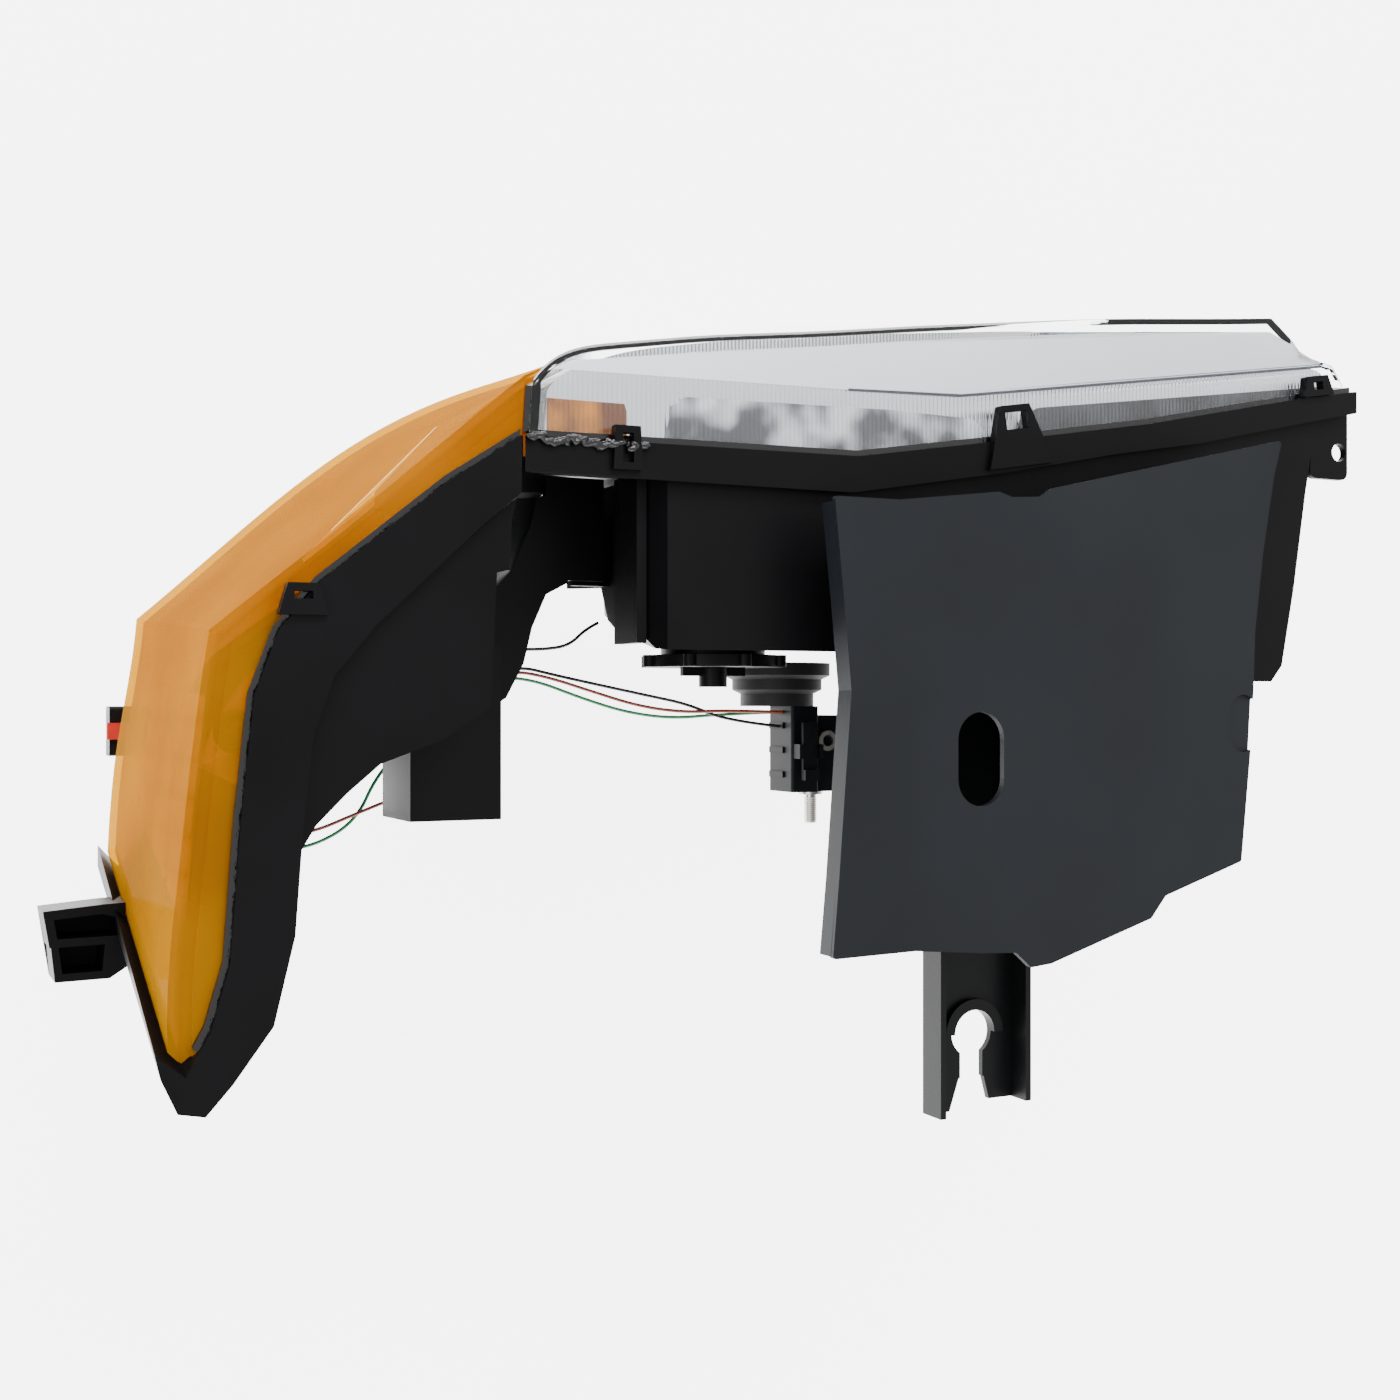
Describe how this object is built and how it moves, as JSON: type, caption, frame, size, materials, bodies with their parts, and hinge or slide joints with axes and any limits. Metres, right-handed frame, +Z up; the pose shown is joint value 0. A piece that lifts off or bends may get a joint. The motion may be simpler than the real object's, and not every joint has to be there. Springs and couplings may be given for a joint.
{
  "type": "truck headlamp assembly",
  "caption": "Left truck headlamp with wrap-around amber turn signal, aimable twin-bowl reflector, top shield, keyhole bracket and inboard bolt tab.",
  "frame": {"origin": "centre of the inboard mounting tab's bolt hole", "axes": "+X outboard towards the turn signal's side face, +Y rearwards into the engine bay (the lenses face -Y), +Z up along the tab's bolt hole"},
  "size_m": [0.62, 0.42, 0.263],
  "materials": {
    "black_plastic": "moulded black polypropylene, fine grain",
    "shield_plastic": "flat charcoal sheet, soft sheen",
    "clear_polycarbonate": "clear hard-coated polycarbonate",
    "amber_acrylic": "transparent amber acrylic",
    "sealant": "glossy black butyl sealant",
    "mirror_coating": "aluminised moulded plastic, mirror bright",
    "painted_steel": "black powder coat",
    "zinc_steel": "zinc plated",
    "black_rubber": "matt black rubber",
    "connector_plastic": "black glass-filled nylon",
    "white_nylon": "natural acetal",
    "bulb_glass": "clear quartz",
    "amber_bulb_glass": "amber dipped glass",
    "red_plastic": "red lock tab",
    "tungsten": "tungsten and molybdenum wire",
    "black_wire_skin": "black pvc",
    "brown_wire_skin": "brown pvc",
    "green_wire_skin": "green pvc"
  },
  "bodies": {
    "root": {"black_feed_wire": "black_wire_skin", "black_wire": "black_wire_skin", "bracket_screws": "zinc_steel", "brown_wire": "brown_wire_skin", "connector_latch_ears": "connector_plastic", "earth_grommet": "black_rubber", "fender_bracket": "black_plastic", "green_wire": "green_wire_skin", "ground_stud": "zinc_steel", "headlamp_bezel": "mirror_coating", "headlamp_housing": "black_plastic", "headlamp_lens": "clear_polycarbonate", "headlamp_sealant": "sealant", "high_beam_boot": "black_rubber", "high_beam_plug": "connector_plastic", "horizontal_adjuster_body": "connector_plastic", "housing_joint_screws": "zinc_steel", "lens_joint_strip": "sealant", "low_beam_boot": "black_rubber", "low_beam_plug": "connector_plastic", "pivot_stud": "zinc_steel", "plug_ring": "zinc_steel", "rear_bracket": "painted_steel", "side_reflex_insert": "amber_acrylic", "signal_grommet": "black_rubber", "top_shield": "shield_plastic", "turn_signal_housing": "black_plastic", "turn_signal_lens": "amber_acrylic", "turn_signal_reflector": "mirror_coating", "turn_signal_sealant": "sealant", "vertical_adjuster_body": "connector_plastic"},
    "swivel": {"pivot_liner": "white_nylon"},
    "reflector": {"reflector": "mirror_coating", "low_beam_glare_cap": "mirror_coating"},
    "low_beam_bulb": {"low_beam_bulb_base": "zinc_steel", "low_beam_bulb_glass": "bulb_glass", "low_beam_filament": "tungsten"},
    "high_beam_bulb": {"high_beam_bulb_base": "zinc_steel", "high_beam_bulb_glass": "bulb_glass", "high_beam_filament": "tungsten"},
    "horizontal_stud": {"horizontal_aim_stud": "zinc_steel"},
    "vertical_stud": {"vertical_aim_stud": "zinc_steel"},
    "horizontal_wheel": {"horizontal_adjuster_wheel": "white_nylon"},
    "vertical_wheel": {"vertical_adjuster_wheel": "white_nylon"},
    "latch": {"connector_latch": "connector_plastic"},
    "service_cap": {"service_cap": "black_plastic"},
    "turn_socket": {"turn_signal_socket": "connector_plastic", "turn_signal_bulb": "amber_bulb_glass"},
    "marker_socket": {"side_marker_socket": "connector_plastic", "side_marker_bulb": "amber_bulb_glass", "side_marker_plug": "connector_plastic", "side_marker_lock_tab": "red_plastic"}
  },
  "joints": [
    {"name": "beam_swing", "type": "hinge", "parent": "root", "child": "swivel", "pos_m": [0.1, 0.085, -0.022], "axis": [0, 0, 1], "range_deg": [-2, 2]},
    {"name": "beam_tilt", "type": "hinge", "parent": "swivel", "child": "reflector", "pos_m": [0.1, 0.085, -0.022], "axis": [1, 0, 0], "range_deg": [-2.5, 2.5]},
    {"name": "horizontal_stud_travel", "type": "slide", "parent": "root", "child": "horizontal_stud", "axis": [0, 1, 0], "range_m": [-0.0058, 0.0058]},
    {"name": "vertical_stud_travel", "type": "slide", "parent": "root", "child": "vertical_stud", "axis": [0, 1, 0], "range_m": [-0.0064, 0.0064]},
    {"name": "horizontal_wheel_turn", "type": "hinge", "parent": "root", "child": "horizontal_wheel", "pos_m": [0.262, 0.14, -0.022], "axis": [0, 1, 0], "range_deg": [-700, 700]},
    {"name": "vertical_wheel_turn", "type": "hinge", "parent": "root", "child": "vertical_wheel", "pos_m": [0.1, 0.14, -0.165], "axis": [0, 1, 0], "range_deg": [-770, 770]},
    {"name": "low_beam_bulb_twist", "type": "hinge", "parent": "reflector", "child": "low_beam_bulb", "pos_m": [0.277, 0.08, -0.092], "axis": [0, 1, 0], "range_deg": [0, 30]},
    {"name": "high_beam_bulb_twist", "type": "hinge", "parent": "reflector", "child": "high_beam_bulb", "pos_m": [0.112, 0.08, -0.092], "axis": [0, 1, 0], "range_deg": [0, 30]},
    {"name": "latch_press", "type": "hinge", "parent": "root", "child": "latch", "pos_m": [0.2675, 0.152, -0.077], "axis": [1, 0, 0], "range_deg": [-8, 0], "stiffness_Nm_per_rad": 0.05},
    {"name": "service_cap_twist", "type": "hinge", "parent": "root", "child": "service_cap", "pos_m": [0.33, 0.11, -0.056], "axis": [0, 1, 0], "range_deg": [0, 30]},
    {"name": "turn_socket_twist", "type": "hinge", "parent": "root", "child": "turn_socket", "pos_m": [0.463, 0.129, -0.15], "axis": [-0.5, 0.866, 0], "range_deg": [0, 45]},
    {"name": "marker_socket_twist", "type": "hinge", "parent": "root", "child": "marker_socket", "pos_m": [0.523, 0.142, -0.2], "axis": [0, 0, -1], "range_deg": [0, 40]}
  ],
  "couplings": [
    {"joint": "horizontal_stud_travel", "follows": "beam_swing", "m_per_rad": 0.162},
    {"joint": "horizontal_wheel_turn", "follows": "beam_swing", "ratio": 339.29},
    {"joint": "vertical_stud_travel", "follows": "beam_tilt", "m_per_rad": 0.143},
    {"joint": "vertical_wheel_turn", "follows": "beam_tilt", "ratio": 299.5}
  ]
}
